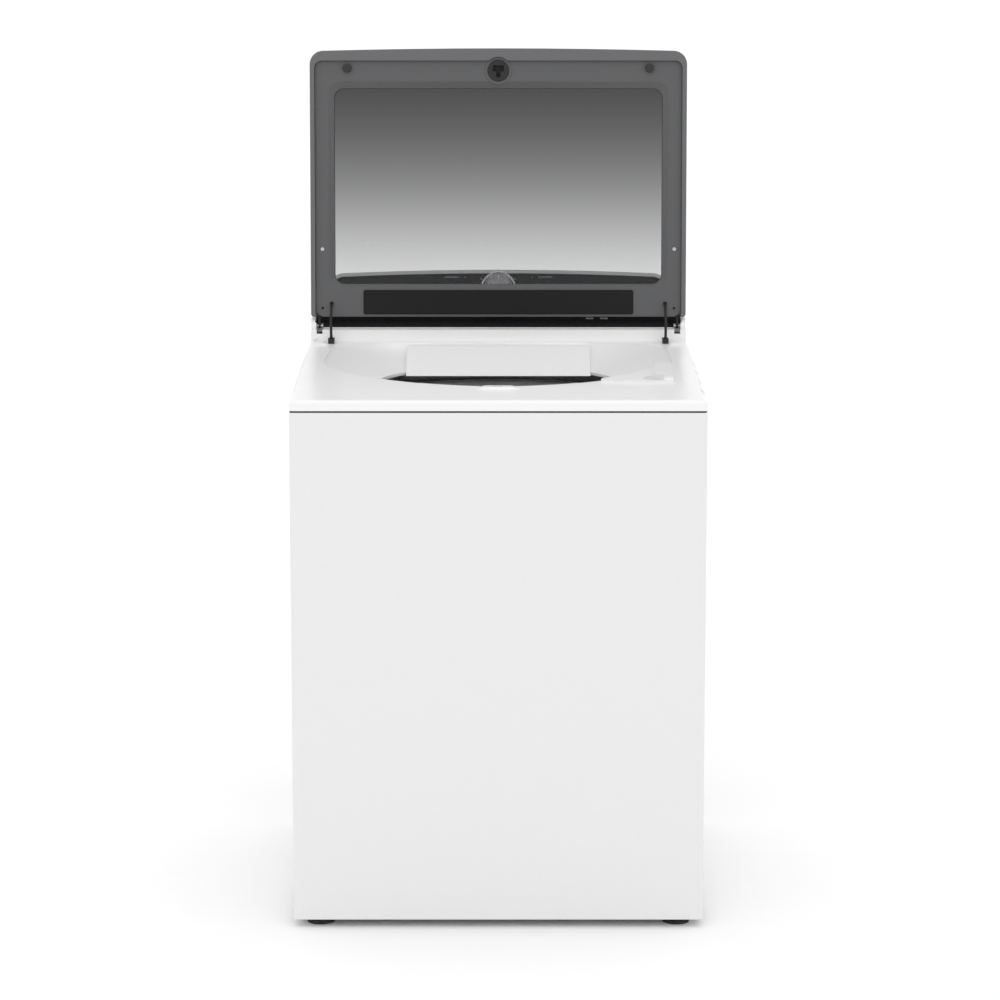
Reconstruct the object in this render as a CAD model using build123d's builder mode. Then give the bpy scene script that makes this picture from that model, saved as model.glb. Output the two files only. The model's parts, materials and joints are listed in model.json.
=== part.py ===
"""Top load washing machine, as an assembly of separate parts. Millimetres, +Z up.

The origin is on the floor below the middle of the machine, -Y is the front and +X is the right.
The lid stands open, leaning back a little. Heights are above the floor.
"""

import os
from math import atan2, cos, degrees, hypot, pi, radians, sin

from build123d import *

os.makedirs("parts", exist_ok=True)

# ---------------------------------------------------------------- driving dimensions
HALF = 349.25
FRONT = -354.0
CABINET_BACK = 301.0
REAR = 354.0
FLOOR_GAP = 14.0
CABINET_TOP = 887.0
SHEET = 1.2
FLANGE = 16.0
CORNER_R = 8.0
SEAL_INSET = 1.75
BASE_SHEET = 2.5
BASE_TALL = 40.0
RAIL_HALF = 45.0
FOOT_STUD_R = 5.0

DECK_BOTTOM = 890.0
DECK_WALL = 3.0
DECK_FRONT_Y = -324.0
DECK_FRONT_Z = 910.0
DECK_RUN = 515.0
DECK_CLIMB = 32.0
DECK_CROWN = 3.4
LEDGE_Y = 204.0
LEDGE_HALF = 346.0
LEDGE_TOP = 960.0
RECESS_DEPTH = 0.3
RECESS_HALF = 315.0
RECESS_FRONT = -214.0

TUB_Y = -24.0
THROAT_R = 213.0
THROAT_Z = 897.0
THROAT_BOTTOM = 892.0
HOPPER_HALF = 308.0
HOPPER_REACH_FRONT = 218.0
HOPPER_REACH_REAR = 215.0
HOPPER_POINTS = 40

HINGE_Y = 217.5
HINGE_Z = 970.0
LID_LEAN = 3.0
LID_TRAVEL = 96.5
LID_Y = 203.7
LID_Z = 987.7
LID_HALF = 345.0
LID_LENGTH = 491.0
LID_BOW = 5.0
LID_BACK = -18.0
LID_SKIRT = 7.0
LID_SKIN = 2.5
FRAME_HALF = 336.5
FRAME_END = 468.5
WINDOW_HALF = 300.5
WINDOW_LOW = 60.0
WINDOW_HIGH = 418.0
GLASS_FRONT = -7.0
GLASS_THICK = 5.0
ROD_X = 307.0
ROD_RADIUS = 43.6
ROD_WIRE = 2.5
GROMMET_Y = 186.3
ARM_X = 330.0
PIN_R = 3.0

LOCK_Y = -252.0
PAD_TOP = 918.6
BOLT_SIZE = (14.0, 5.0)
BOLT_TOP = 917.6
STRIKE_T = 450.5
SCREW_X = 323.5
SCREW_T = 124.7
BUMPER_X = 276.5
BUMPER_T = 455.0
BLEACH_X = 268.0
BLEACH_Y = -182.0
BLEACH_R = 20.0

FACE_Y = 226.0
FACE_Z = 964.5
FACE_RISE = 103.5
FACE_BACK = 52.0
FACE_THICK = 4.0
KNOB_T = 79.0
KNOB_R = 26.0
BUTTON_T = 45.3
BUTTONS = {
    "options_button": (-215.0, 30.0),
    "power_button": (170.0, 30.0),
    "start_button": (238.0, 44.0),
}
BUTTON_TALL = 12.0

TUB_R = 295.0
TUB_WALL = 3.0
TUB_BOTTOM = 300.0
TUB_TOP = 855.0
BASKET_R = 258.0
BASKET_WALL = 1.5
BASKET_BOTTOM = 335.0
BASKET_TOP = 800.0
RING_OUTER = 268.0
RING_INNER = 235.0
RING_TOP = 868.0
IMPELLER_R = 200.0
SPIN_R = 14.0
BEARING_R = 27.0
SHAFT_R = 8.0

CRADLE_Z = 290.0
CRADLE_R = 228.0
MOTOR_X = 150.0
MOTOR_Y = TUB_Y + 117.0
MOTOR_R = 62.0
PULLEY_R = 80.0
MOTOR_PULLEY_R = 16.0
BELT_Z = 125.0
BELT_WIDE = 15.0
BELT_THICK = 4.0
BELT_GAP = 0.3

ROD_CORNER_X = 300.0
ROD_CORNER_Y = 268.0
SUSPENSION_BOTTOM = 292.0
SUSPENSION_TOP = 866.0
LUG_Z = 395.0
SPRING_Z = 300.5
PUMP_X = -190.0
PUMP_Y = 150.0
DRAIN_Z = 78.0
VALVE_X = -180.0
VALVE_Z = 845.0
CORD_X = 215.0

# ---------------------------------------------------------------- planes
LID = Plane(
    origin=(0, LID_Y, LID_Z),
    x_dir=(1, 0, 0),
    z_dir=(0, -cos(radians(LID_LEAN)), sin(radians(LID_LEAN))),
)
FACE = Plane(origin=(0, FACE_Y, FACE_Z), x_dir=(1, 0, 0), z_dir=(0, -FACE_RISE, FACE_BACK))
FACE_LENGTH = hypot(FACE_RISE, FACE_BACK)
DECK = Plane(
    origin=(0, DECK_FRONT_Y, DECK_FRONT_Z),
    x_dir=(1, 0, 0),
    z_dir=(0, -DECK_CLIMB, DECK_RUN),
)
PIVOT = Axis((0, HINGE_Y, HINGE_Z), (1, 0, 0))


def save(piece, name):
    """Labels a finished piece and writes its STEP file."""
    piece.part.label = name
    export_step(piece.part, f"parts/{name}.step")


def block(x, y, z, mode=Mode.ADD):
    """Box between two limits on each axis."""
    with Locations(((x[0] + x[1]) / 2, (y[0] + y[1]) / 2, (z[0] + z[1]) / 2)):
        Box(x[1] - x[0], y[1] - y[0], z[1] - z[0], mode=mode)


def rod(x, y, radius, low, high, mode=Mode.ADD):
    """Upright cylinder between two heights."""
    with Locations((x, y, (low + high) / 2)):
        Cylinder(radius, high - low, mode=mode)


# ---------------------------------------------------------------- cabinet
def cabinet_prism(inset, low, high):
    """Upright prism that follows the cabinet's walls, drawn in by inset, with round front corners."""
    with BuildPart() as prism:
        with BuildSketch(Plane.XY.offset(low)) as outline:
            with Locations((0, (FRONT + CABINET_BACK) / 2)):
                Rectangle(2 * (HALF - inset), CABINET_BACK - FRONT - 2 * inset)
            fillet(outline.vertices().group_by(Axis.Y)[0], CORNER_R - inset)
        extrude(amount=high - low)
    return prism.part


def cabinet_wrapper():
    """One bent sheet: the front and both sides, with flanges at the top, bottom and back."""
    with BuildPart() as wrapper:
        add(cabinet_prism(0, FLOOR_GAP, CABINET_TOP))
        add(cabinet_prism(SHEET, FLOOR_GAP + SHEET, CABINET_TOP - SHEET), mode=Mode.SUBTRACT)
        block(
            (-HALF + FLANGE, HALF - FLANGE),
            (FRONT + FLANGE, CABINET_BACK + 1),
            (0, CABINET_TOP + 1),
            Mode.SUBTRACT,
        )
        for x, y in foot_places():
            rod(x, y, 5.6, 0, 30, Mode.SUBTRACT)
    return wrapper


def foot_places():
    """Where the four levelling feet stand."""
    return [(x, y) for x in (-305.0, 305.0) for y in (-315.0, 262.0)]


def corner_places():
    """Where the four suspension rods hang."""
    return [(x, TUB_Y + y) for x in (-ROD_CORNER_X, ROD_CORNER_X) for y in (-ROD_CORNER_Y, ROD_CORNER_Y)]


def rear_panel():
    """Sheet that closes the back, with pressed ribs and holes for the water and cord fittings."""
    with BuildPart() as panel:
        block((-345, 345), (CABINET_BACK, CABINET_BACK + SHEET), (20, 884))
        for x in (-90, 90):
            block((x - 30, x + 30), (CABINET_BACK + SHEET, CABINET_BACK + 4), (140, 760))
        for x, z, radius in panel_holes():
            with Locations(Location((x, CABINET_BACK, z), (90, 0, 0))):
                Cylinder(radius, 20, mode=Mode.SUBTRACT)
    return panel


def panel_holes():
    """Holes in the rear panel, as x, height and radius."""
    valves = [(VALVE_X + side * 30, VALVE_Z, 14.5) for side in (-1, 1)]
    return [*valves, (PUMP_X, DRAIN_Z, 17.0), (CORD_X, VALVE_Z, 9.0)]


def base_frame():
    """Pressed base: a ring of channel with a cross rail that carries the pump."""
    low = FLOOR_GAP + SHEET
    window = (-HALF + SHEET + 80, HALF - SHEET - 80)
    with BuildPart() as frame:
        add(cabinet_prism(SHEET, low, low + BASE_TALL))
        add(cabinet_prism(SHEET + BASE_SHEET, low + BASE_SHEET, low + 60), mode=Mode.SUBTRACT)
        block(window, (FRONT + 71, PUMP_Y - RAIL_HALF), (0, BASE_TALL), Mode.SUBTRACT)
        block(window, (PUMP_Y + RAIL_HALF, CABINET_BACK - 61), (0, BASE_TALL), Mode.SUBTRACT)
        for x, y in foot_places():
            rod(x, y, 11, low, low + 10)
            rod(x, y, 5.4, 0, 40, Mode.SUBTRACT)
    return frame


def foot_pads():
    """Round rubber feet."""
    with BuildPart() as pads:
        for x, y in foot_places():
            rod(x, y, 23, 0, 3)
            with Locations((x, y, 5.5)):
                Cone(23, 15, 5)
            rod(x, y, FOOT_STUD_R, 5, 9, Mode.SUBTRACT)
    return pads


def foot_studs():
    """Threaded studs with jam nuts below the base."""
    with BuildPart() as studs:
        for x, y in foot_places():
            rod(x, y, FOOT_STUD_R, 5, 48)
            with BuildSketch(Plane.XY.offset(FLOOR_GAP - 5.5)):
                with Locations((x, y)):
                    RegularPolygon(9, 6)
            extrude(amount=5.5)
    return studs


def deck_seal_strip():
    """Dark strip in the joint between the cabinet and the deck."""
    with BuildPart() as strip:
        add(cabinet_prism(SEAL_INSET, CABINET_TOP, DECK_BOTTOM))
        inside = SEAL_INSET + 9.5
        block(
            (-HALF + inside, HALF - inside),
            (FRONT + inside, CABINET_BACK - inside),
            (CABINET_TOP - 1, DECK_BOTTOM + 1),
            Mode.SUBTRACT,
        )
    return strip


# ---------------------------------------------------------------- deck
def deck_z(y):
    """Height of the deck's crowned upper surface at depth y."""
    t = (y - DECK_FRONT_Y) / DECK_RUN
    return DECK_FRONT_Z + DECK_CLIMB * t + 4 * DECK_CROWN * t * (1 - t)


def deck_arc_points(front, back, above):
    """Front, middle and rear points of the crown, lifted by above."""
    return [(y, deck_z(y) + above) for y in (front, (front + back) / 2, back)]


def deck_band(low, high, half, front, back):
    """Slab that follows the crown, between two heights above the deck's surface."""
    with BuildPart() as band:
        with BuildSketch(Plane.YZ):
            with BuildLine():
                bottom = ThreePointArc(*deck_arc_points(FRONT, CABINET_BACK, low))
                top = ThreePointArc(*deck_arc_points(FRONT, CABINET_BACK, high))
                Line(bottom @ 0, top @ 0)
                Line(bottom @ 1, top @ 1)
            make_face()
        extrude(amount=half, both=True)
        block((-half, half), (front, back), (800, 1000), Mode.INTERSECT)
    return band.part


def deck_envelope(inset, bottom):
    """Everything under the crowned surface, drawn in from the outside by inset."""
    front = FRONT + inset
    back = CABINET_BACK - inset
    with BuildPart() as envelope:
        with BuildSketch(Plane.YZ):
            with BuildLine():
                top = ThreePointArc(*deck_arc_points(FRONT, CABINET_BACK, -inset))
                Polyline(top @ 0, (FRONT, bottom), (CABINET_BACK, bottom), top @ 1)
            make_face()
        extrude(amount=HALF - inset, both=True)
        block((-HALF, HALF), (front, back), (800, 1000), Mode.INTERSECT)
        fillet(envelope.edges().filter_by(Axis.Z).group_by(Axis.Y)[0], CORNER_R - inset)
        edge = envelope.edges().filter_by(Axis.X).group_by(Axis.Y)[0].sort_by(Axis.Z)[-1]
        if not inset:
            fillet(edge, CORNER_R)
    return envelope.part


def rim_point(angle, grow):
    """Point of the hopper's rim: a long oval in front and a squarer one behind."""
    power = 1.8 if sin(angle) < 0 else 5.0
    reach = HOPPER_REACH_FRONT if sin(angle) < 0 else HOPPER_REACH_REAR
    x = abs(cos(angle)) ** (2 / power) * (HOPPER_HALF + grow)
    y = abs(sin(angle)) ** (2 / power) * (reach + grow)
    x = x if cos(angle) > 0 else -x
    y = y if sin(angle) > 0 else -y
    return (x, (TUB_Y + y - DECK_FRONT_Y) / cos(atan2(DECK_CLIMB, DECK_RUN)))


def rim_angles():
    """Angles that spread the rim's points evenly enough for a smooth curve."""
    return [2 * pi * (step + 0.5) / HOPPER_POINTS for step in range(HOPPER_POINTS)]


def hopper(grow, above, bottom):
    """Funnel from the wide rim in the deck down to the round throat."""
    with BuildPart() as funnel:
        with BuildSketch(DECK) as rim:
            with BuildLine():
                Spline(*[rim_point(angle, grow) for angle in rim_angles()], periodic=True)
            make_face()
        with BuildSketch(Plane.XY.offset(THROAT_Z)) as throat:
            with Locations((0, TUB_Y)):
                Circle(THROAT_R + grow)
        loft()
        extrude(rim.sketch, amount=above)
        extrude(throat.sketch, amount=bottom - THROAT_Z)
    return funnel.part


def top_deck():
    """White moulded top: fascia, crowned deck, hopper and the ledge that carries the console."""
    with BuildPart() as deck:
        add(deck_envelope(0, DECK_BOTTOM))
        block((-LEDGE_HALF, LEDGE_HALF), (LEDGE_Y, CABINET_BACK), (930, LEDGE_TOP))
        add(deck_envelope(DECK_WALL, DECK_BOTTOM - 5), mode=Mode.SUBTRACT)
        block(
            (-LEDGE_HALF + DECK_WALL, LEDGE_HALF - DECK_WALL),
            (LEDGE_Y + DECK_WALL, CABINET_BACK - DECK_WALL),
            (DECK_BOTTOM - 5, LEDGE_TOP - DECK_WALL),
            Mode.SUBTRACT,
        )
        add(deck_band(-RECESS_DEPTH, 12, RECESS_HALF, RECESS_FRONT, LEDGE_Y), mode=Mode.SUBTRACT)
        add(hopper_wall())
        add(hopper(0, 30, THROAT_BOTTOM - 1), mode=Mode.SUBTRACT)
        for side in (-1, 1):
            x = side * ROD_X
            block((x - 4.9, x + 4.9), (GROMMET_Y - 8.3, GROMMET_Y + 8.3), (925, 950), Mode.SUBTRACT)
            x = side * ARM_X
            block((x - 5.5, x + 5.5), (LEDGE_Y - 1, 228), (956.4, LEDGE_TOP + 1), Mode.SUBTRACT)
        block((-8.2, 8.2), (LOCK_Y - 3.7, LOCK_Y + 3.7), (900, 930), Mode.SUBTRACT)
        rod(BLEACH_X, BLEACH_Y, BLEACH_R + 2, 880, 940, Mode.SUBTRACT)
    return deck


def hopper_wall():
    """The funnel grown by the wall and cut off at the recessed deck surface."""
    with BuildPart() as wall:
        add(hopper(DECK_WALL, 12, THROAT_BOTTOM))
        add(deck_envelope(0, THROAT_BOTTOM - 5), mode=Mode.INTERSECT)
        add(deck_band(-RECESS_DEPTH, 12, RECESS_HALF, RECESS_FRONT, LEDGE_Y), mode=Mode.SUBTRACT)
    return wall.part


def stay_grommets():
    """Slotted rubber guides where the lid's stay rods pass through the deck."""
    with BuildPart() as grommets:
        level = deck_z(GROMMET_Y) - RECESS_DEPTH
        for side in (-1, 1):
            x = side * ROD_X
            block((x - 5.5, x + 5.5), (GROMMET_Y - 14, GROMMET_Y + 9.8), (level + 0.8, level + 9))
            block((x - 4.7, x + 4.7), (GROMMET_Y - 8, GROMMET_Y + 8), (level - 3, level + 1))
            block((x - 3.3, x + 3.3), (GROMMET_Y - 7, GROMMET_Y + 7), (900, 960), Mode.SUBTRACT)
            block((x - 3.3, x + 3.3), (GROMMET_Y - 12, GROMMET_Y), (level + 1.4, 960), Mode.SUBTRACT)
    return grommets


def lid_lock_bezel():
    """Raised pad over the lid lock, with the slot that the bolt comes out of."""
    with BuildPart() as bezel:
        with BuildSketch(Plane.XY.offset(PAD_TOP - 6)):
            with Locations((0, LOCK_Y)):
                RectangleRounded(100, 30, 8)
        with BuildSketch(Plane.XY.offset(PAD_TOP)):
            with Locations((0, LOCK_Y)):
                RectangleRounded(50, 20, 5)
        loft()
        add(deck_band(-40, 0, 200, FRONT, LEDGE_Y), mode=Mode.SUBTRACT)
        block((-8.2, 8.2), (LOCK_Y - 3.7, LOCK_Y + 3.7), (900, 930), Mode.SUBTRACT)
    return bezel


def lid_lock():
    """Lock body below the deck, with the channel that guides the bolt."""
    with BuildPart() as lock:
        block((-38, 38), (LOCK_Y - 36, LOCK_Y + 5.5), (889, 908))
        block((-7.6, 7.6), (LOCK_Y - 3.1, LOCK_Y + 3.1), (893, 915), Mode.SUBTRACT)
        block((38, 46), (LOCK_Y - 26, LOCK_Y - 8), (892, 904))
    return lock


def lid_lock_bolt():
    """Flat steel bolt that rises into the lid's strike."""
    with BuildPart() as bolt:
        wide, thick = BOLT_SIZE
        block((-wide / 2, wide / 2), (LOCK_Y - thick / 2, LOCK_Y + thick / 2), (894, BOLT_TOP))
        fillet(bolt.edges().filter_by(Axis.Y).group_by(Axis.Z)[-1], 2)
    return bolt


def bleach_head():
    """Raised block beside the bleach basin, following the crown of the deck."""
    with BuildPart() as head:
        with BuildSketch(Plane.XY.offset(870)) as outline:
            with BuildLine():
                Polyline((266, -192), (301, -192), (304, -60), (277, -60), close=True)
            make_face()
            fillet(outline.vertices(), 4)
        extrude(amount=90)
        add(deck_band(-RECESS_DEPTH, 6.2, HALF, FRONT, LEDGE_Y), mode=Mode.INTERSECT)
    return head.part


def bleach_cup():
    """Dispenser in the right front corner: a flange on the deck, a ramp and a small cup."""
    with BuildPart() as cup:
        with BuildSketch(Plane.XY.offset(870)) as outline:
            with BuildLine():
                Polyline(
                    (300, -206), (262, -212), (175, -204), (178, -186),
                    (225, -149), (276, -82), (306, -82), close=True,
                )
            make_face()
            fillet(outline.vertices(), 5)
        extrude(amount=90)
        add(deck_band(-RECESS_DEPTH, 2.6, HALF, FRONT, LEDGE_Y), mode=Mode.INTERSECT)
        add(bleach_head())
        rod(BLEACH_X, BLEACH_Y, BLEACH_R + 1.6, 892, deck_z(BLEACH_Y) + 1)
        rod(BLEACH_X, BLEACH_Y, BLEACH_R - 0.4, 894, 940, Mode.SUBTRACT)
    return cup


def fill_hood():
    """Sloping hood at the back of the hopper that turns the fill water down into the basket."""
    with BuildPart() as hood:
        with BuildSketch(Plane.YZ):
            with BuildLine():
                Polyline((166, 937), (91, 892.5), (91, 889), (215, 889), (215, 940), close=True)
            make_face()
        extrude(amount=167, both=True)
        add(hopper(-0.4, 10, THROAT_BOTTOM), mode=Mode.INTERSECT)
        with BuildSketch(Plane.YZ):
            with BuildLine():
                Polyline((167, 934.5), (97, 893), (97, 880), (183, 880), (183, 935), close=True)
            make_face()
        extrude(amount=160, both=True, mode=Mode.SUBTRACT)
    return hood


# ---------------------------------------------------------------- console
def console_outline(inset):
    """Outline of the console on its sloping face."""
    with BuildSketch() as outline:
        with BuildLine():
            top = ThreePointArc((308, 108), (0, FACE_LENGTH), (-308, 108))
            Polyline(top @ 1, (-LID_HALF, 28), (-LID_HALF, -14), (LID_HALF, -14), (LID_HALF, 28), top @ 0)
        make_face()
        fillet(outline.vertices().group_by(Axis.Y)[-1], 34)
        if inset:
            offset(amount=-inset)
    return outline.sketch


def console_face_outline(gap):
    """Outline of the dark face, smaller than its seat in the housing by gap."""
    with BuildSketch() as outline:
        add(console_outline(7 + gap))
        with Locations((0, 1.5 + gap - 50)):
            Rectangle(800, 100, mode=Mode.SUBTRACT)
    return outline.sketch


def console_housing():
    """White rear housing that carries the face, with the ears that hold the hinge pins."""
    with BuildPart() as housing:
        with BuildSketch(FACE):
            add(console_outline(0))
        extrude(amount=-150)
        block((-400, 400), (190, REAR), (LEDGE_TOP, 1100), Mode.INTERSECT)
        block((-LID_HALF, LID_HALF), (LEDGE_Y, 240), (LEDGE_TOP, 964.2))
        for side in (-1, 1):
            ear = (336, 345) if side > 0 else (-345, -336)
            block(ear, (HINGE_Y - 12.5, HINGE_Y + 12.5), (LEDGE_TOP, HINGE_Z))
            with Locations(Location((side * 340.5, HINGE_Y, HINGE_Z), (0, 90, 0))):
                Cylinder(15, 9)
        block((-400, 400), (190, 240), (940, LEDGE_TOP), Mode.SUBTRACT)
        with BuildSketch(FACE.offset(-FACE_THICK)):
            add(console_face_outline(0))
        extrude(amount=30, mode=Mode.SUBTRACT)
        add(console_cavity(), mode=Mode.SUBTRACT)
        block((-252, 252), (340, 360), (972, 1010), Mode.SUBTRACT)
        block((-260, 260), (REAR - 2, 360), (966, 1016), Mode.SUBTRACT)
        for side in (-1, 1):
            x = side * ARM_X
            block((x - 5.5, x + 5.5), (LEDGE_Y - 1, 228), (950, 978), Mode.SUBTRACT)
            with Locations(Location((side * 335, HINGE_Y, HINGE_Z), (0, 90, 0))):
                Cylinder(PIN_R, 16, mode=Mode.SUBTRACT)
    return housing


def console_cavity():
    """Room inside the housing, behind a shelf that the face sits on."""
    with BuildPart() as cavity:
        with BuildSketch(FACE.offset(-FACE_THICK)):
            add(console_face_outline(8))
        extrude(amount=4, both=True)
        with BuildSketch(FACE.offset(-FACE_THICK - 3)):
            add(console_outline(3))
        extrude(amount=-160)
        block((-400, 400), (190, REAR - 3), (LEDGE_TOP + 3, 1100), Mode.INTERSECT)
    return cavity.part


def console_face():
    """Glossy dark panel with holes for the knob and buttons and posts for the control board."""
    with BuildPart() as face:
        with BuildSketch(FACE.offset(-FACE_THICK)):
            add(console_face_outline(0.3))
            with Locations((0, KNOB_T)):
                Circle(4, mode=Mode.SUBTRACT)
            for x, wide in BUTTONS.values():
                with Locations((x, BUTTON_T)):
                    RectangleRounded(wide + 0.8, BUTTON_TALL + 0.8, 3.4, mode=Mode.SUBTRACT)
        extrude(amount=FACE_THICK)
        with BuildSketch(FACE.offset(-24.4)):
            with GridLocations(520, 56, 2, 2):
                with Locations((0, 58)):
                    Circle(4)
        extrude(amount=24.4 - FACE_THICK)
    return face


def console_back_cover():
    """Service cover at the back of the console."""
    with BuildPart() as cover:
        block((-259.7, 259.7), (REAR - 2, REAR), (966.3, 1015.7))
        for step in range(9):
            x = -200 + 50 * step
            block((x - 15, x + 15), (340, 360), (990, 993), Mode.SUBTRACT)
    return cover


def control_board():
    """Circuit board with the knob's encoder, the buttons' switches, relays and capacitors."""
    with BuildPart() as board:
        with BuildSketch(FACE.offset(-26)):
            with Locations((0, 58)):
                Rectangle(560, 70)
        extrude(amount=1.6)
        with BuildSketch(FACE.offset(-24.4)):
            with Locations((0, KNOB_T)):
                Circle(9)
        extrude(amount=13)
        with BuildSketch(FACE.offset(-24.4)):
            for x, _ in BUTTONS.values():
                with Locations((x, BUTTON_T)):
                    Circle(4)
        extrude(amount=15)
        with BuildSketch(FACE.offset(-26)):
            for x in (-60, -30, 40, 80):
                with Locations((x, 50)):
                    RectangleRounded(20, 16, 2)
        extrude(amount=-14)
    return board


def knob_bezel():
    """Chrome ring around the cycle knob."""
    with BuildPart() as bezel:
        with BuildSketch(FACE):
            with Locations((0, KNOB_T)):
                Circle(32.5)
                Circle(28, mode=Mode.SUBTRACT)
        extrude(amount=4)
        fillet(bezel.edges().group_by(Axis((0, 0, 0), FACE.z_dir))[-1], 1.6)
    return bezel


def cycle_knob():
    """Round cycle knob with finger flutes and a pointer groove, on a short shaft."""
    with BuildPart() as knob:
        with BuildSketch(FACE.offset(1)):
            with Locations((0, KNOB_T)):
                Circle(KNOB_R)
                with PolarLocations(KNOB_R + 1.2, 24):
                    Circle(2.2, mode=Mode.SUBTRACT)
        extrude(amount=17, taper=3)
        with BuildSketch(FACE.offset(17.9)):
            with Locations((0, KNOB_T)):
                Circle(KNOB_R - 3.4)
        extrude(amount=4, taper=25)
        with BuildSketch(FACE.offset(20.9)):
            with Locations((0, KNOB_T + 12)):
                RectangleRounded(2.4, 16, 1.1)
        extrude(amount=3, mode=Mode.SUBTRACT)
        with BuildSketch(FACE.offset(-9)):
            with Locations((0, KNOB_T)):
                Circle(3)
        extrude(amount=11)
    return knob


def console_button(x, wide):
    """Push button that stands a little proud of the face."""
    with BuildPart() as button:
        with BuildSketch(FACE.offset(-6)):
            with Locations((x, BUTTON_T)):
                RectangleRounded(wide, BUTTON_TALL, 3)
        extrude(amount=7.6)
        fillet(button.edges().group_by(Axis((0, 0, 0), FACE.z_dir))[-1], 0.8)
    return button


def hinge_pins():
    """Short pins that the lid's arms turn on."""
    with BuildPart() as pins:
        for side in (-1, 1):
            with Locations(Location((side * 334.5, HINGE_Y, HINGE_Z), (0, 90, 0))):
                Cylinder(PIN_R, 17)
            with Locations(Location((side * 325, HINGE_Y, HINGE_Z), (0, 90, 0))):
                Cylinder(4.6, 2)
    return pins


# ---------------------------------------------------------------- lid
def lid_outline():
    """Outline of the lid: straight sides and a bowed front edge with round corners."""
    with BuildSketch() as outline:
        with BuildLine():
            front = ThreePointArc(
                (LID_HALF, LID_LENGTH - LID_BOW),
                (0, LID_LENGTH),
                (-LID_HALF, LID_LENGTH - LID_BOW),
            )
            Polyline(front @ 1, (-LID_HALF, 0), (LID_HALF, 0), front @ 0)
        make_face()
        fillet(outline.vertices().group_by(Axis.Y)[-1], 25)
        fillet(outline.vertices().group_by(Axis.Y)[0], 6)
    return outline.sketch


def lid_outer_shell():
    """Outer skin of the lid with its rim, skirt and the ledge that carries the glass."""
    with BuildPart() as shell:
        with BuildSketch(LID.offset(LID_BACK)):
            add(lid_outline())
        extrude(amount=LID_SKIRT - LID_BACK)
        outer = Axis((0, 0, 0), LID.z_dir)
        fillet(shell.edges().group_by(outer)[0], 5)
        fillet(shell.edges().group_by(outer)[-1], 2.5)
        with BuildSketch(LID.offset(LID_BACK + LID_SKIN)):
            with Locations((0, (3 + FRAME_END) / 2)):
                RectangleRounded(2 * FRAME_HALF, FRAME_END - 3, 14)
        extrude(amount=40, mode=Mode.SUBTRACT)
        with BuildSketch(LID.offset(-3.2)):
            with Locations((0, 10)):
                Rectangle(2 * FRAME_HALF, 30)
        extrude(amount=30, mode=Mode.SUBTRACT)
        with BuildSketch(LID.offset(LID_BACK + LID_SKIN)):
            with Locations((0, (WINDOW_LOW + WINDOW_HIGH) / 2)):
                RectangleRounded(2 * WINDOW_HALF + 27, WINDOW_HIGH - WINDOW_LOW + 27, 24)
        extrude(amount=GLASS_FRONT - GLASS_THICK - LID_BACK - LID_SKIN)
        with BuildSketch(LID.offset(LID_BACK - 1)):
            with Locations((0, (WINDOW_LOW + WINDOW_HIGH) / 2)):
                RectangleRounded(2 * WINDOW_HALF, WINDOW_HIGH - WINDOW_LOW, 18)
            for side in (-1, 1):
                with Locations((side * ARM_X, -2)):
                    Rectangle(9, 10)
        extrude(amount=10, mode=Mode.SUBTRACT)
        with BuildSketch(LID.offset(-15.2)):
            for side in (-1, 1):
                with Locations((side * ARM_X, 2)):
                    Rectangle(9, 18)
        extrude(amount=14, mode=Mode.SUBTRACT)
        with BuildSketch(LID.offset(-14.5)):
            with Locations((0, STRIKE_T)):
                Circle(19.7)
        extrude(amount=30, mode=Mode.SUBTRACT)
        with BuildSketch(LID.offset(-0.2)):
            with Locations((0, STRIKE_T)):
                Circle(24.8)
        extrude(amount=30, mode=Mode.SUBTRACT)
    return shell


def lid_inner_frame():
    """Grey inner frame around the glass, with a sloping recess down to it."""
    with BuildPart() as frame:
        middle = (1.3 + FRAME_END - 0.3) / 2
        with BuildSketch(LID.offset(-3)):
            with Locations((0, middle)):
                RectangleRounded(2 * FRAME_HALF - 0.6, FRAME_END - 1.6, 13.7)
        extrude(amount=3)
        with BuildSketch(LID.offset(GLASS_FRONT)):
            with Locations((0, 242.5)):
                RectangleRounded(2 * 318, 392, 26)
        extrude(amount=-GLASS_FRONT - 2)
        with BuildSketch(LID):
            with Locations((0, 242.7)):
                RectangleRounded(2 * 311.5, 376.6, 22)
        with BuildSketch(LID.offset(GLASS_FRONT)):
            with Locations((0, (WINDOW_LOW + WINDOW_HIGH) / 2)):
                RectangleRounded(2 * WINDOW_HALF, WINDOW_HIGH - WINDOW_LOW, 18)
        loft(mode=Mode.SUBTRACT)
        with BuildSketch(LID):
            with Locations((0, STRIKE_T)):
                Circle(24.5)
        extrude(amount=1.6)
        for x, y, radius in frame_holes():
            with BuildSketch(LID.offset(-8)):
                with Locations((x, y)):
                    Circle(radius)
            extrude(amount=20, mode=Mode.SUBTRACT)
    return frame


def frame_holes():
    """Holes in the inner frame: strike, bumpers, screws and stay rods."""
    holes = [(0, STRIKE_T, 19.7)]
    for side in (-1, 1):
        holes.append((side * BUMPER_X, BUMPER_T, 3.2))
        holes.append((side * SCREW_X, SCREW_T, 2.3))
        holes.append((side * SCREW_X, 16.0, 2.3))
        holes.append((side * ROD_X, 24.4, 3.6))
    return holes


def lid_glass():
    """Tempered glass pane."""
    with BuildPart() as glass:
        with BuildSketch(LID.offset(GLASS_FRONT - GLASS_THICK)):
            with Locations((0, (WINDOW_LOW + WINDOW_HIGH) / 2)):
                RectangleRounded(2 * WINDOW_HALF + 20, WINDOW_HIGH - WINDOW_LOW + 20, 24)
        extrude(amount=GLASS_THICK)
    return glass


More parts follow.
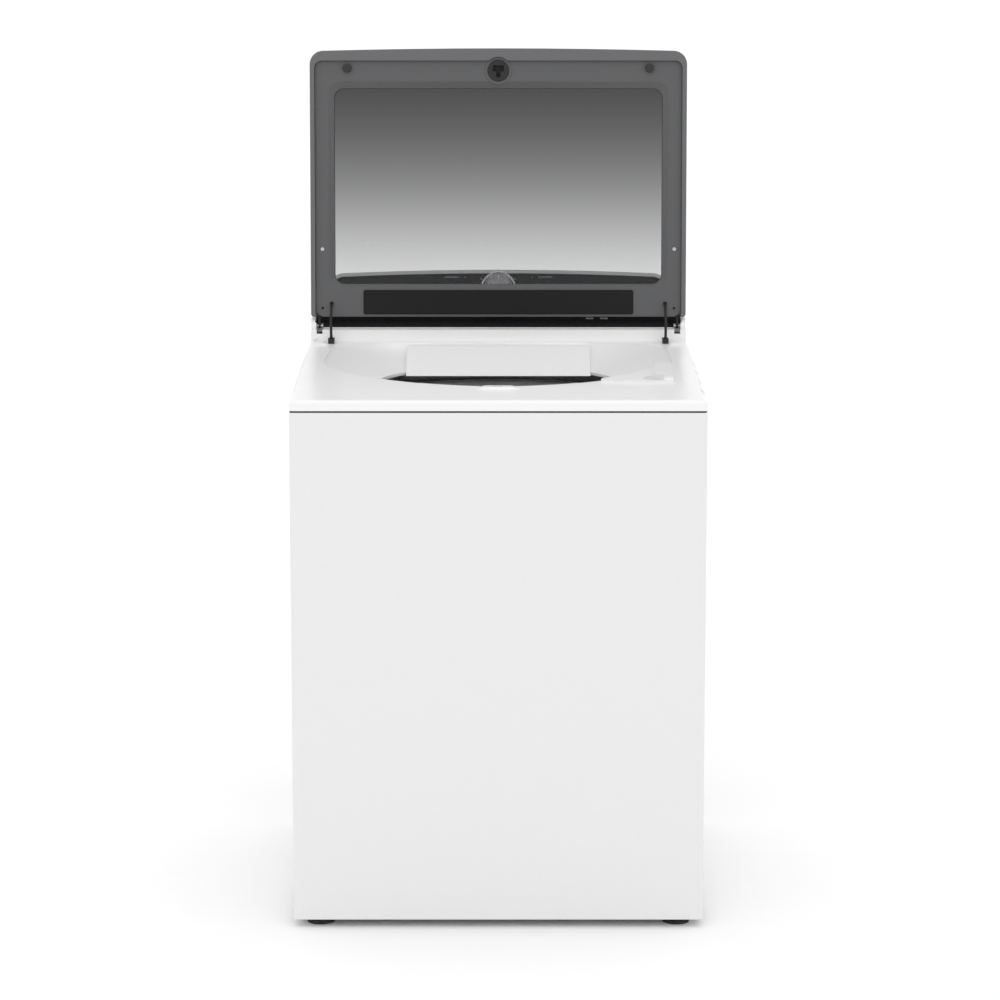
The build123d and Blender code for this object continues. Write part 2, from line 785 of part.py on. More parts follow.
def lid_plate():
    """Dark plate on the inner frame beside the hinge."""
    with BuildPart() as plate:
        with BuildSketch(LID):
            with Locations((0, 27.1)):
                RectangleRounded(497, 45.2, 4)
        extrude(amount=1.6)
        fillet(plate.edges().group_by(Axis((0, 0, 0), LID.z_dir))[-1], 0.6)
    return plate


def lid_strike():
    """Round strike in the lid's front edge, with the slot that the lock bolt enters."""
    with BuildPart() as strike:
        with BuildSketch(LID.offset(-14)):
            with Locations((0, STRIKE_T)):
                Circle(19.4)
        extrude(amount=17.4)
        with BuildSketch(LID.offset(-9)):
            with Locations((0, STRIKE_T + 4)):
                RectangleRounded(20, 11, 1.5)
            with Locations((0, STRIKE_T - 6)):
                RectangleRounded(8, 12, 1.5)
        extrude(amount=20, mode=Mode.SUBTRACT)
    return strike


def bumper_height():
    """How far the bumpers stand out so that they stop just above the deck when the lid is shut."""
    swing = radians(LID_TRAVEL)
    slope = radians(90 - LID_LEAN + LID_TRAVEL)
    reach = LID_Y - HINGE_Y
    rise = LID_Z - HINGE_Z
    y = HINGE_Y + reach * cos(swing) - rise * sin(swing) + BUMPER_T * cos(slope)
    z = HINGE_Z + reach * sin(swing) + rise * cos(swing) + BUMPER_T * sin(slope)
    return z - deck_z(y) - 0.7


def lid_bumpers():
    """Rubber bumpers near the lid's front corners."""
    with BuildPart() as bumpers:
        height = bumper_height()
        with BuildSketch(LID):
            with Locations((-BUMPER_X, BUMPER_T), (BUMPER_X, BUMPER_T)):
                Circle(8)
        extrude(amount=height)
        fillet(bumpers.edges().group_by(Axis((0, 0, 0), LID.z_dir))[-1], 2.5)
        with BuildSketch(LID.offset(-6)):
            with Locations((-BUMPER_X, BUMPER_T), (BUMPER_X, BUMPER_T)):
                Circle(3)
        extrude(amount=7)
    return bumpers


def lid_screws():
    """Screws that hold the inner frame."""
    with BuildPart() as screws:
        places = [(-SCREW_X, SCREW_T), (SCREW_X, SCREW_T)]
        with BuildSketch(LID):
            with Locations(*places):
                Circle(3.2)
                Rectangle(3.8, 0.9, mode=Mode.SUBTRACT)
                Rectangle(0.9, 3.8, mode=Mode.SUBTRACT)
        extrude(amount=1.4)
        with BuildSketch(LID.offset(-9)):
            with Locations(*places):
                Circle(2)
        extrude(amount=9.2)
    return screws


def lid_hinge_arms():
    """Flat steel arms from the hinge pins into the lid."""
    with BuildPart() as arms:
        for side in (-1, 1):
            with BuildSketch(LID.offset(-14.6)):
                with Locations((side * ARM_X, 27)):
                    Rectangle(4, 88)
            extrude(amount=9.8)
            with Locations(Location((side * ARM_X, HINGE_Y, HINGE_Z), (0, 90, 0))):
                Cylinder(5.5, 4)
                Cylinder(PIN_R + 0.06, 8, mode=Mode.SUBTRACT)
    return arms


def radial_plane(angle):
    """Plane through the hinge axis whose second direction leaves the axis at this angle."""
    return Plane(
        origin=(0, HINGE_Y, HINGE_Z),
        x_dir=(1, 0, 0),
        z_dir=(0, -sin(radians(angle)), cos(radians(angle))),
    )


def lid_stay_rods():
    """Curved rods that guide the lid; they are arcs about the hinge with a collar at the end."""
    with BuildPart() as rods:
        for start, turn, radius in ((101, 138, ROD_WIRE), (235, 4, 3.8)):
            with BuildSketch(radial_plane(start)):
                with Locations((-ROD_X, ROD_RADIUS), (ROD_X, ROD_RADIUS)):
                    Circle(radius)
            revolve(axis=PIVOT, revolution_arc=turn)
    return rods


# ---------------------------------------------------------------- washing unit
def turned(points, y=TUB_Y):
    """Solid of revolution about the tub's axis, from radius and height points."""
    with BuildPart() as body:
        with BuildSketch(Plane.XZ):
            with BuildLine():
                Polyline(*points, close=True)
            make_face()
        revolve(axis=Axis.Z)
    return body.part.translate((0, y, 0))


def ring_section(inner, outer, low, high):
    """Corners of a plain ring's section, as radius and height points."""
    return [(inner, low), (outer, low), (outer, high), (inner, high)]


def outer_tub():
    """Plastic tub that holds the water, with suspension lugs and a sump outlet."""
    inner = TUB_R - TUB_WALL
    with BuildPart() as tub:
        add(turned([
            (30, TUB_BOTTOM), (TUB_R - 14, TUB_BOTTOM), (TUB_R, TUB_BOTTOM + 14), (TUB_R, TUB_TOP - 4),
            (TUB_R + 6, TUB_TOP - 4), (TUB_R + 6, TUB_TOP), (inner, TUB_TOP), (inner, TUB_BOTTOM + 16),
            (inner - 12, TUB_BOTTOM + 5), (30, TUB_BOTTOM + 5),
        ]))
        reach = hypot(ROD_CORNER_X, ROD_CORNER_Y)
        for x, y in corner_places():
            turn = degrees(atan2(y - TUB_Y, x))
            with BuildSketch(Plane((0, TUB_Y, LUG_Z), x_dir=Vector(1, 0, 0).rotate(Axis.Z, turn))):
                with Locations(((TUB_R - 2 + reach) / 2, 0)):
                    Rectangle(reach - TUB_R + 2, 36)
                with Locations((reach, 0)):
                    Circle(20)
            extrude(amount=10)
            with BuildSketch(Plane((0, TUB_Y, LUG_Z + 9), x_dir=Vector(1, 0, 0).rotate(Axis.Z, turn))):
                with Locations(((TUB_R - 2 + reach - 25) / 2, 0)):
                    Rectangle(reach - 25 - TUB_R + 2, 6)
            extrude(amount=34, taper=4)
        for height in (480, 600, 720):
            add(turned(ring_section(TUB_R - 1, TUB_R + 4, height, height + 4)))
        rod(PUMP_X, PUMP_Y, 17, 272, TUB_BOTTOM + 3)
        rod(PUMP_X, PUMP_Y, 13, 260, TUB_BOTTOM + 6, Mode.SUBTRACT)
        for x, y in corner_places():
            rod(x, y, 4.5, LUG_Z - 1, LUG_Z + 50, Mode.SUBTRACT)
    return tub


def tub_ring():
    """Splash ring clipped on top of the tub."""
    with BuildPart() as ring:
        add(turned([
            (TUB_R + 6, TUB_TOP), (TUB_R + 6, TUB_TOP + 5), (TUB_R - 4, TUB_TOP + 11), (272, TUB_TOP + 11),
            (272, TUB_TOP + 8), (TUB_R - 6, TUB_TOP + 8), (TUB_R - 3, TUB_TOP),
        ]))
    return ring


def tub_bearings():
    """Ball bearing that carries the spin tube."""
    with BuildPart() as bearings:
        add(turned(ring_section(SPIN_R + 0.05, BEARING_R, CRADLE_Z, TUB_BOTTOM)))
    return bearings


def tub_seal():
    """Lip seal between the tub's floor and the spin tube."""
    with BuildPart() as seal:
        add(turned([
            (SPIN_R + 0.4, TUB_BOTTOM), (30, TUB_BOTTOM), (30, TUB_BOTTOM + 5), (36, TUB_BOTTOM + 5),
            (36, TUB_BOTTOM + 8), (24, TUB_BOTTOM + 8), (SPIN_R + 0.4, TUB_BOTTOM + 12),
        ]))
    return seal


def basket():
    """Stainless steel wash basket."""
    inner = BASKET_R - BASKET_WALL
    floor = BASKET_BOTTOM + 2.4
    with BuildPart() as drum:
        add(turned([
            (44, BASKET_BOTTOM), (BASKET_R - 22, BASKET_BOTTOM), (BASKET_R, BASKET_BOTTOM + 22),
            (BASKET_R, BASKET_TOP), (inner, BASKET_TOP), (inner, BASKET_BOTTOM + 23),
            (BASKET_R - 23, floor), (44, floor),
        ]))
    return drum


def balance_ring():
    """Liquid filled ring that balances the basket."""
    with BuildPart() as ring:
        with BuildSketch(Plane.XZ) as section:
            with BuildLine():
                Polyline(
                    (RING_INNER, BASKET_TOP + 12), (RING_INNER + 12, BASKET_TOP), (RING_OUTER, BASKET_TOP),
                    (RING_OUTER, RING_TOP), (RING_INNER, RING_TOP), close=True,
                )
            make_face()
            fillet(section.vertices().group_by(Axis.Y)[-1], 8)
        revolve(axis=Axis.Z)
        shifted = ring.part.translate((0, TUB_Y, 0))
        add(shifted, mode=Mode.REPLACE)
    return ring


def basket_hub():
    """Three armed spider below the basket."""
    with BuildPart() as hub:
        add(turned([(SPIN_R, 316), (42, 316), (42, BASKET_BOTTOM + 3), (SPIN_R, BASKET_BOTTOM + 3)]))
        for step in range(3):
            with BuildSketch(Plane((0, TUB_Y, 320), x_dir=Vector(1, 0, 0).rotate(Axis.Z, 90 + 120 * step))):
                with Locations((130, 0)):
                    Rectangle(190, 34)
            extrude(amount=BASKET_BOTTOM - 320)
        add(turned([(0, 300), (SPIN_R, 300), (SPIN_R, 350), (0, 350)]), mode=Mode.SUBTRACT)
    return hub


def spin_tube():
    """Hollow shaft that turns the basket."""
    with BuildPart() as tube:
        add(turned(ring_section(SHAFT_R + 0.4, SPIN_R, 256, BASKET_BOTTOM + 3)))
    return tube


def drive_shaft():
    """Solid shaft inside the spin tube that turns the impeller."""
    with BuildPart() as shaft:
        add(turned([(0, 252), (SHAFT_R, 252), (SHAFT_R, 362), (0, 362)]))
    return shaft


def impeller():
    """Low wash plate with curved vanes."""
    with BuildPart() as plate:
        add(turned([
            (SHAFT_R, 343), (IMPELLER_R, 343), (IMPELLER_R, 347), (IMPELLER_R - 20, 352),
            (90, 358), (60, 368), (34, 386), (26, 386), (26, 362), (SHAFT_R, 362),
        ]))
        for step in range(6):
            with BuildSketch(Plane((0, TUB_Y, 347), x_dir=Vector(1, 0, 0).rotate(Axis.Z, 60 * step))):
                with Locations((112, 0)):
                    SlotOverall(140, 18)
            extrude(amount=22, taper=14)
        bore = turned([(0, 330), (SHAFT_R, 330), (SHAFT_R, 362), (26, 362), (26, 420), (0, 420)])
        add(bore, mode=Mode.SUBTRACT)
    return plate


def impeller_cap():
    """Cap over the impeller's bolt."""
    with BuildPart() as cap:
        add(turned([(0, 362), (25.7, 362), (25.7, 388), (20, 394), (10, 397), (0, 398)]))
    return cap


def tub_cradle():
    """Steel plate below the tub that carries the gearcase and motor."""
    with BuildPart() as cradle:
        rod(0, TUB_Y, CRADLE_R, CRADLE_Z, TUB_BOTTOM)
        rod(0, TUB_Y, 27, CRADLE_Z - 1, TUB_BOTTOM + 1, Mode.SUBTRACT)
        for angle in (128, 218, 308):
            x = 150 * cos(radians(angle))
            y = TUB_Y + 150 * sin(radians(angle))
            rod(x, y, 46, CRADLE_Z - 1, TUB_BOTTOM + 1, Mode.SUBTRACT)
    return cradle


def gearcase():
    """Cast gearcase with the clutch."""
    with BuildPart() as case:
        bore = SPIN_R + 0.8
        add(turned([
            (0, 172), (8.4, 172), (8.4, 160), (40, 160), (48, 172), (72, 190), (76, 200), (76, 262),
            (60, 276), (60, 282), (84, 282), (84, CRADLE_Z), (bore, CRADLE_Z), (bore, 248), (0, 248),
        ]))
        for step in range(6):
            with BuildSketch(Plane((0, TUB_Y, 195), x_dir=Vector(1, 0, 0).rotate(Axis.Z, 30 + 60 * step))):
                with Locations((74, 0)):
                    Rectangle(12, 5)
            extrude(amount=86)
    return case


def drive_pulley():
    """Large belt pulley under the gearcase."""
    low = BELT_Z - 3
    high = BELT_Z + BELT_WIDE + 3
    flange = PULLEY_R + 3
    with BuildPart() as pulley:
        add(turned([
            (0, low), (flange, low), (flange, low + 2), (PULLEY_R, low + 2), (PULLEY_R, high - 2),
            (flange, high - 2), (flange, high), (PULLEY_R - 6, high), (PULLEY_R - 6, low + 5),
            (22, low + 5), (22, high + 3), (SHAFT_R, high + 3), (SHAFT_R, 171), (0, 171),
        ]))
        for step in range(6):
            angle = radians(60 * step)
            rod(50 * cos(angle), TUB_Y + 50 * sin(angle), 14, low - 1, low + 6, Mode.SUBTRACT)
    return pulley


def motor():
    """Drive motor hung from the cradle."""
    with BuildPart() as body:
        rod(MOTOR_X, MOTOR_Y, MOTOR_R, 172, 282)
        fillet(body.edges().filter_by(GeomType.CIRCLE), 8)
        for step in range(4):
            angle = radians(45 + 90 * step)
            rod(MOTOR_X + 50 * cos(angle), MOTOR_Y + 50 * sin(angle), 8, 270, CRADLE_Z)
        rod(MOTOR_X, MOTOR_Y, 22, 164, 174)
        rod(MOTOR_X, MOTOR_Y, 6.4, 150, 186, Mode.SUBTRACT)
    return body


def motor_rotor():
    """Motor shaft with its small pulley."""
    high = BELT_Z + BELT_WIDE + 3
    with BuildPart() as rotor:
        rod(MOTOR_X, MOTOR_Y, 6, BELT_Z - 6, 184)
        rod(MOTOR_X, MOTOR_Y, MOTOR_PULLEY_R, BELT_Z - 3, high)
        rod(MOTOR_X, MOTOR_Y, MOTOR_PULLEY_R + 3, BELT_Z - 3, BELT_Z - 1)
        rod(MOTOR_X, MOTOR_Y, MOTOR_PULLEY_R + 3, high - 2, high)
    return rotor


def belt_outline(extra):
    """Loop around both pulleys, outside their faces by extra."""
    with BuildSketch() as loop:
        with Locations((0, TUB_Y)):
            Circle(PULLEY_R + extra)
        with Locations((MOTOR_X, MOTOR_Y)):
            Circle(MOTOR_PULLEY_R + extra)
        make_hull(loop.edges())
    return loop.sketch


def drive_belt():
    """Ribbed belt around the two pulleys."""
    with BuildPart() as belt:
        with BuildSketch(Plane.XY.offset(BELT_Z)):
            add(belt_outline(BELT_GAP + BELT_THICK))
            add(belt_outline(BELT_GAP), mode=Mode.SUBTRACT)
        extrude(amount=BELT_WIDE)
    return belt


# ---------------------------------------------------------------- suspension
def corner_gusset(x, y, leg, low, high):
    """Triangle in the cabinet's corner nearest to x and y, cut off where the corner is round."""
    right = 1 if x > 0 else -1
    back = 1 if y > TUB_Y else -1
    wall_x = right * (HALF - SHEET)
    wall_y = CABINET_BACK - SHEET if back > 0 else FRONT + SHEET
    with BuildPart() as gusset:
        with BuildSketch(Plane.XY.offset(low)):
            with BuildLine():
                Polyline(
                    (wall_x - right * CORNER_R, wall_y),
                    (wall_x - right * leg, wall_y),
                    (wall_x, wall_y - back * leg),
                    (wall_x, wall_y - back * CORNER_R),
                    close=True,
                )
            make_face()
        extrude(amount=high - low)
    return gusset.part


def corner_brackets():
    """Gussets in the cabinet's corners that the suspension rods hang from."""
    with BuildPart() as brackets:
        for x, y in corner_places():
            add(corner_gusset(x, y, 96, 850, 854))
            add(corner_gusset(x, y, 15, 820, 850))
            rod(x, y, 4, 840, 860, Mode.SUBTRACT)
    return brackets


def suspension_rods():
    """Steel rods that the tub hangs on."""
    with BuildPart() as rods:
        for x, y in corner_places():
            rod(x, y, 3, SUSPENSION_BOTTOM + 1, SUSPENSION_TOP)
    return rods


def suspension_caps():
    """Ball cups at the top of the rods and spring seats at the bottom."""
    with BuildPart() as caps:
        for x, y in corner_places():
            rod(x, y, 13, 854, 860)
            with Locations((x, y, 860)):
                Sphere(9)
            rod(x, y, 22, SUSPENSION_BOTTOM, 296)
            rod(x, y, 12, 296, SPRING_Z - 0.5)
            rod(x, y, 3, SUSPENSION_BOTTOM + 1, SUSPENSION_TOP + 10, Mode.SUBTRACT)
            block((x - 15, x + 15), (y - 15, y + 15), (840, 854), Mode.SUBTRACT)
    return caps


def suspension_springs():
    """Outer shape of the coil springs below the tub's lugs."""
    with BuildPart() as springs:
        for x, y in corner_places():
            rod(x, y, 17, SPRING_Z, LUG_Z - 0.5)
            rod(x, y, 13.5, SPRING_Z - 1, LUG_Z, Mode.SUBTRACT)
    return springs


# ---------------------------------------------------------------- water and power
def inlet_valve():
    """Double water valve with hot and cold threaded inlets."""
    with BuildPart() as valve:
        block((VALVE_X - 48, VALVE_X + 48), (262, CABINET_BACK), (VALVE_Z - 20, VALVE_Z + 20))
        for side in (-1, 1):
            x = VALVE_X + side * 30
            with Locations(Location((x, (CABINET_BACK + 329) / 2 - 4, VALVE_Z), (90, 0, 0))):
                Cylinder(13.2, 36)
            with Locations(Location((x, 325, VALVE_Z), (90, 0, 0))):
                Cylinder(9, 40, mode=Mode.SUBTRACT)
            with Locations(Location((x, 257, VALVE_Z), (90, 0, 0))):
                Cylinder(12, 12)
        rod(VALVE_X, 280, 9, VALVE_Z + 18, VALVE_Z + 32)
    return valve


def inlet_hose():
    """Short hose from the valve to the fill hood."""
    with BuildPart() as hose:
        with BuildLine() as route:
            FilletPolyline(
                (VALVE_X, 280, VALVE_Z + 32.2), (VALVE_X, 280, 915), (-110, 262, 922), (-60, 199, 918),
                radius=24,
            )
        with BuildSketch(Plane(origin=route.line @ 0, z_dir=route.line % 0)):
            Circle(9)
            Circle(6.5, mode=Mode.SUBTRACT)
        sweep()
    return hose


def drain_pump():
    """Pump on the base's cross rail, with an upright inlet and an outlet to the back."""
    base = FLOOR_GAP + SHEET + 2.5
    with BuildPart() as pump:
        rod(PUMP_X, PUMP_Y, 40, 34, 92)
        fillet(pump.edges().filter_by(GeomType.CIRCLE), 5)
        block((PUMP_X - 42, PUMP_X + 42), (PUMP_Y - 30, PUMP_Y + 30), (base, 38))
        with Locations(Location((PUMP_X + 66, PUMP_Y, 62), (0, 90, 0))):
            Cylinder(26, 60)
        rod(PUMP_X, PUMP_Y, 17, 90, 130)
        rod(PUMP_X, PUMP_Y, 13, 100, 140, Mode.SUBTRACT)
        with Locations(Location((PUMP_X, PUMP_Y + 52, DRAIN_Z), (90, 0, 0))):
            Cylinder(13, 40)
    return pump


def sump_bellows():
    """Rubber bellows from the tub's sump down to the pump."""
    with BuildPart() as bellows:
        rod(PUMP_X, PUMP_Y, 22, 130.5, 271.5)
        rod(PUMP_X, PUMP_Y, 17.5, 120, 280, Mode.SUBTRACT)
    return bellows


def drain_hose():
    """Hose inside the cabinet from the pump to the drain port."""
    with BuildPart() as hose:
        with Locations(Location((PUMP_X, (PUMP_Y + 72.5 + 285) / 2, DRAIN_Z), (90, 0, 0))):
            Cylinder(15, 285 - PUMP_Y - 72.5)
            Cylinder(12, 80, mode=Mode.SUBTRACT)
    return hose


def drain_port():
    """Spigot at the back for the drain hose."""
    with BuildPart() as port:
        with Locations(Location((PUMP_X, (285.5 + 340) / 2, DRAIN_Z), (90, 0, 0))):
            Cylinder(15.9, 340 - 285.5)
        with Locations(Location((PUMP_X, CABINET_BACK + SHEET + 2, DRAIN_Z), (90, 0, 0))):
            Cylinder(26, 4)
        with Locations(Location((PUMP_X, 320, DRAIN_Z), (90, 0, 0))):
            Cylinder(13, 80, mode=Mode.SUBTRACT)
    return port


def power_cord_gland():
    """Strain relief bush for the power cord."""
    with BuildPart() as gland:
        with Locations(Location((CORD_X, CABINET_BACK + SHEET + 5, VALVE_Z), (90, 0, 0))):
            Cylinder(13, 10)
        with Locations(Location((CORD_X, CABINET_BACK - 3, VALVE_Z), (90, 0, 0))):
            Cylinder(8.8, 14)
        with Locations(Location((CORD_X, CABINET_BACK, VALVE_Z), (90, 0, 0))):
            Cylinder(4, 60, mode=Mode.SUBTRACT)
    return gland


PIECES = [
    cabinet_wrapper, rear_panel, base_frame, foot_pads, foot_studs, deck_seal_strip,
    top_deck, stay_grommets, lid_lock_bezel, lid_lock, lid_lock_bolt, bleach_cup, fill_hood,
    console_housing, console_face, console_back_cover, control_board, knob_bezel, cycle_knob,
    hinge_pins, lid_outer_shell, lid_inner_frame, lid_glass, lid_plate, lid_strike, lid_bumpers,
    lid_screws, lid_hinge_arms, lid_stay_rods,
    outer_tub, tub_ring, tub_bearings, tub_seal, basket, balance_ring, basket_hub, spin_tube,
    drive_shaft, impeller, impeller_cap, tub_cradle, gearcase, drive_pulley,
    motor, motor_rotor, drive_belt,
    corner_brackets, suspension_rods, suspension_caps, suspension_springs,
    inlet_valve, inlet_hose, drain_pump, sump_bellows, drain_hose, drain_port, power_cord_gland,
]

for make in PIECES:
    save(make(), make.__name__)
for button_name, (button_x, button_wide) in BUTTONS.items():
    save(console_button(button_x, button_wide), button_name)
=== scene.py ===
"""Top load washing machine with its lid open, on a pale floor in soft studio light. Metres, +Z up."""

import json
from math import cos, pi, radians, sin

import bmesh
import bpy
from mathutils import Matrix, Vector


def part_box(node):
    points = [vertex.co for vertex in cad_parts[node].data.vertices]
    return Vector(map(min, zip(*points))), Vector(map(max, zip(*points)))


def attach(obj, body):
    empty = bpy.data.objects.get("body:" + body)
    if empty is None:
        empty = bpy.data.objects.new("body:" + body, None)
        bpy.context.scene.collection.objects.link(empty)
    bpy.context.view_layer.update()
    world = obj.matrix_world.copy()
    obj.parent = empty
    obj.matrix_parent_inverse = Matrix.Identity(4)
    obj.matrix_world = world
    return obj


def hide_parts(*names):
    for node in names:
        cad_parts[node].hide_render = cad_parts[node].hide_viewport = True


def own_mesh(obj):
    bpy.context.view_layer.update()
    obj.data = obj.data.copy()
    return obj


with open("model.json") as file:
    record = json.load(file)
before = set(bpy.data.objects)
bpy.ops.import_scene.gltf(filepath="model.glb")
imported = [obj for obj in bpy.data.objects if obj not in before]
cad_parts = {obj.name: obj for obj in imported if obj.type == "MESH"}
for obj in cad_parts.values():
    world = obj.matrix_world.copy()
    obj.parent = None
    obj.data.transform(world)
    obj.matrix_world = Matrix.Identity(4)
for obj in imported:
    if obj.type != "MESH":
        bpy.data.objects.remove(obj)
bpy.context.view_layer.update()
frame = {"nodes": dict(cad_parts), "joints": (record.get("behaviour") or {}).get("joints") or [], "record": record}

# ---------------------------------------------------------------- places taken from the frame
JOINTS = {joint["name"]: joint for joint in frame["joints"]}


def low(node):
    """Lowest corner of a node at rest."""
    return Vector(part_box(node)[0])


def high(node):
    """Highest corner of a node at rest."""
    return Vector(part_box(node)[1])


def middle(node):
    """Middle of a node's box at rest."""
    return (low(node) + high(node)) / 2


TUB_AXIS = middle("basket")
KNOB_PIVOT = Vector(JOINTS["knob_turn"]["pos_m"])
FACE_OUT = Vector(JOINTS["knob_turn"]["axis"]).normalized()
FACE_UP = FACE_OUT.cross(Vector((1, 0, 0))).normalized()


# ---------------------------------------------------------------- materials
def principled(name, **values):
    """A material with a Principled shader whose sockets have these values."""
    material = bpy.data.materials.new(name)
    material.use_nodes = True
    shader = material.node_tree.nodes["Principled BSDF"]
    for socket, value in values.items():
        shader.inputs[socket.replace("_", " ")].default_value = value
    return material


def shader_of(material):
    """The material's Principled node."""
    return material.node_tree.nodes["Principled BSDF"]


def add_node(material, kind, **inputs):
    """A new node with some of its inputs set."""
    node = material.node_tree.nodes.new(kind)
    for socket, value in inputs.items():
        node.inputs[socket.replace("_", " ")].default_value = value
    return node


def link(material, source, target):
    """Joins two sockets."""
    material.node_tree.links.new(source, target)


def coordinates(material, scale=(1, 1, 1)):
    """Object coordinates in metres, stretched by scale."""
    place = add_node(material, "ShaderNodeTexCoord")
    stretch = add_node(material, "ShaderNodeMapping", Scale=scale)
    link(material, place.outputs["Object"], stretch.inputs["Vector"])
    return stretch.outputs["Vector"]


def noise(material, scale, detail=3.0, stretch=(1, 1, 1)):
    """Noise value, with its scale in features per metre."""
    texture = add_node(material, "ShaderNodeTexNoise", Scale=scale, Detail=detail)
    link(material, coordinates(material, stretch), texture.inputs["Vector"])
    return texture.outputs["Fac"]


def spread(material, value, dark, light):
    """Turns a noise value into a number between dark and light."""
    ranged = add_node(material, "ShaderNodeMapRange")
    ranged.inputs["From Min"].default_value = 0.3
    ranged.inputs["From Max"].default_value = 0.7
    ranged.inputs["To Min"].default_value = dark
    ranged.inputs["To Max"].default_value = light
    link(material, value, ranged.inputs["Value"])
    return ranged.outputs["Result"]


def vary_colour(material, value, first, second):
    """Colours the surface between two colours by a noise value."""
    mix = material.node_tree.nodes.new("ShaderNodeMix")
    mix.data_type = "RGBA"
    colour_sockets = [socket for socket in mix.inputs if socket.type == "RGBA"]
    colour_sockets[0].default_value = (*first, 1)
    colour_sockets[1].default_value = (*second, 1)
    link(material, spread(material, value, 0.0, 1.0), mix.inputs["Factor"])
    result = [socket for socket in mix.outputs if socket.type == "RGBA"][0]
    link(material, result, shader_of(material).inputs["Base Color"])


def rough_by(material, value, smooth, rough):
    """Roughness between two values by a noise value."""
    link(material, spread(material, value, smooth, rough), shader_of(material).inputs["Roughness"])


def bump_by(material, value, height, soft_edge=0.0):
    """Small bumps of this height in metres, over edges rounded by soft_edge."""
    target = shader_of(material).inputs["Normal"]
    if height:
        bump = add_node(material, "ShaderNodeBump", Strength=0.6, Distance=height)
        link(material, value, bump.inputs["Height"])
        link(material, bump.outputs["Normal"], target)
        target = bump.inputs["Normal"]
    if soft_edge:
        bevel = add_node(material, "ShaderNodeBevel", Radius=soft_edge)
        bevel.samples = 4
        link(material, bevel.outputs["Normal"], target)


def grainy(name, first, second, scale, rough, height, soft_edge=0.0, **values):
    """A material whose colour, roughness and bumps all come from fine noise."""
    material = principled(name, **values)
    vary_colour(material, noise(material, scale / 3, 2.0), first, second)
    rough_by(material, noise(material, scale / 3, 3.0), *rough)
    bump_by(material, noise(material, scale, 2.0), height, soft_edge)
    return material


def brushed(name, colour, along, rough, **values):
    """Metal with fine lines; along gives the stretch of the noise on each axis."""
    material = principled(name, Metallic=1.0, **values)
    shade = tuple(channel * 0.86 for channel in colour)
    lines = noise(material, 220.0, 4.0, along)
    vary_colour(material, lines, colour, shade)
    rough_by(material, lines, *rough)
    bump_by(material, lines, 0.00005)
    return material


def enamel():
    """White baked enamel."""
    return grainy(
        "enamel_white", (0.76, 0.76, 0.758), (0.755, 0.755, 0.753), 300.0, (0.30, 0.36),
        0.0, 0.0006, Coat_Weight=0.2, Coat_Roughness=0.2,
    )


def deck_plastic():
    """White moulded plastic, a little lighter than the enamel."""
    return grainy(
        "deck_white", (0.84, 0.84, 0.838), (0.835, 0.835, 0.833), 400.0, (0.28, 0.36),
        0.0, 0.0, Coat_Weight=0.1, Coat_Roughness=0.2,
    )


def lid_plastic():
    """Grey moulded plastic with a fine spark-eroded grain."""
    return grainy(
        "lid_grey", (0.088, 0.089, 0.092), (0.084, 0.085, 0.088), 1500.0, (0.42, 0.52), 0.00001, 0.0010,
    )


def lid_shell_plastic_with_painted_light():
    """Smoother grey plastic of the lid's rim and outer skin, a little lighter than the lid's grey: the smoother
    finish is its own, the lighter tone is painted light copying the brighter rounded rim.
    """
    return grainy(
        "lid_shell_grey", (0.115, 0.116, 0.120), (0.110, 0.111, 0.115), 700.0, (0.28, 0.36), 0.0, 0.0012,
    )


# Painted light and shade in the glass: see-through tones from the glass's lowest point at rest (0) to its highest
# (1).
GLASS_PAINTED_TONES = (
    (0.0, 0.82), (0.13, 0.745), (0.205, 0.70), (0.354, 0.595),
    (0.502, 0.489), (0.651, 0.40), (0.80, 0.327), (1.0, 0.25),
)


def glass_with_painted_gradient():
    """Glass whose see-through colour is dark at the lid's front edge and light beside the hinge: a painted
    gradient of light and shade that stands in for the backdrop's light seen through the glass.
    """
    material = bpy.data.materials.new("lid_glass_painted_gradient")
    material.use_nodes = True
    nodes = material.node_tree.nodes
    nodes.remove(nodes["Principled BSDF"])
    output = nodes["Material Output"]
    place = add_node(material, "ShaderNodeTexCoord")
    split = add_node(material, "ShaderNodeSeparateXYZ")
    link(material, place.outputs["Object"], split.inputs["Vector"])
    ranged = add_node(material, "ShaderNodeMapRange")
    ranged.inputs["From Min"].default_value = low("lid_glass").z
    ranged.inputs["From Max"].default_value = high("lid_glass").z
    link(material, split.outputs["Z"], ranged.inputs["Value"])
    ramp = nodes.new("ShaderNodeValToRGB")
    while len(ramp.color_ramp.elements) < len(GLASS_PAINTED_TONES):
        ramp.color_ramp.elements.new(0.5)
    for element, (place_on_ramp, tone) in zip(ramp.color_ramp.elements, GLASS_PAINTED_TONES):
        element.position = place_on_ramp
        # Each tone is painted light and shade, set as the glass's see-through colour.
        element.color = (tone, tone * 1.002, tone * 1.006, 1)
    link(material, ranged.outputs["Result"], ramp.inputs["Fac"])
    clear = nodes.new("ShaderNodeBsdfTransparent")
    link(material, ramp.outputs["Color"], clear.inputs["Color"])
    shine = add_node(material, "ShaderNodeBsdfGlossy", Roughness=0.03)
    facing = add_node(material, "ShaderNodeFresnel", IOR=1.22)
    mix = nodes.new("ShaderNodeMixShader")
    link(material, facing.outputs["Fac"], mix.inputs["Fac"])
    link(material, clear.outputs["BSDF"], mix.inputs[1])
    link(material, shine.outputs["BSDF"], mix.inputs[2])
    link(material, mix.outputs["Shader"], output.inputs["Surface"])
    return material


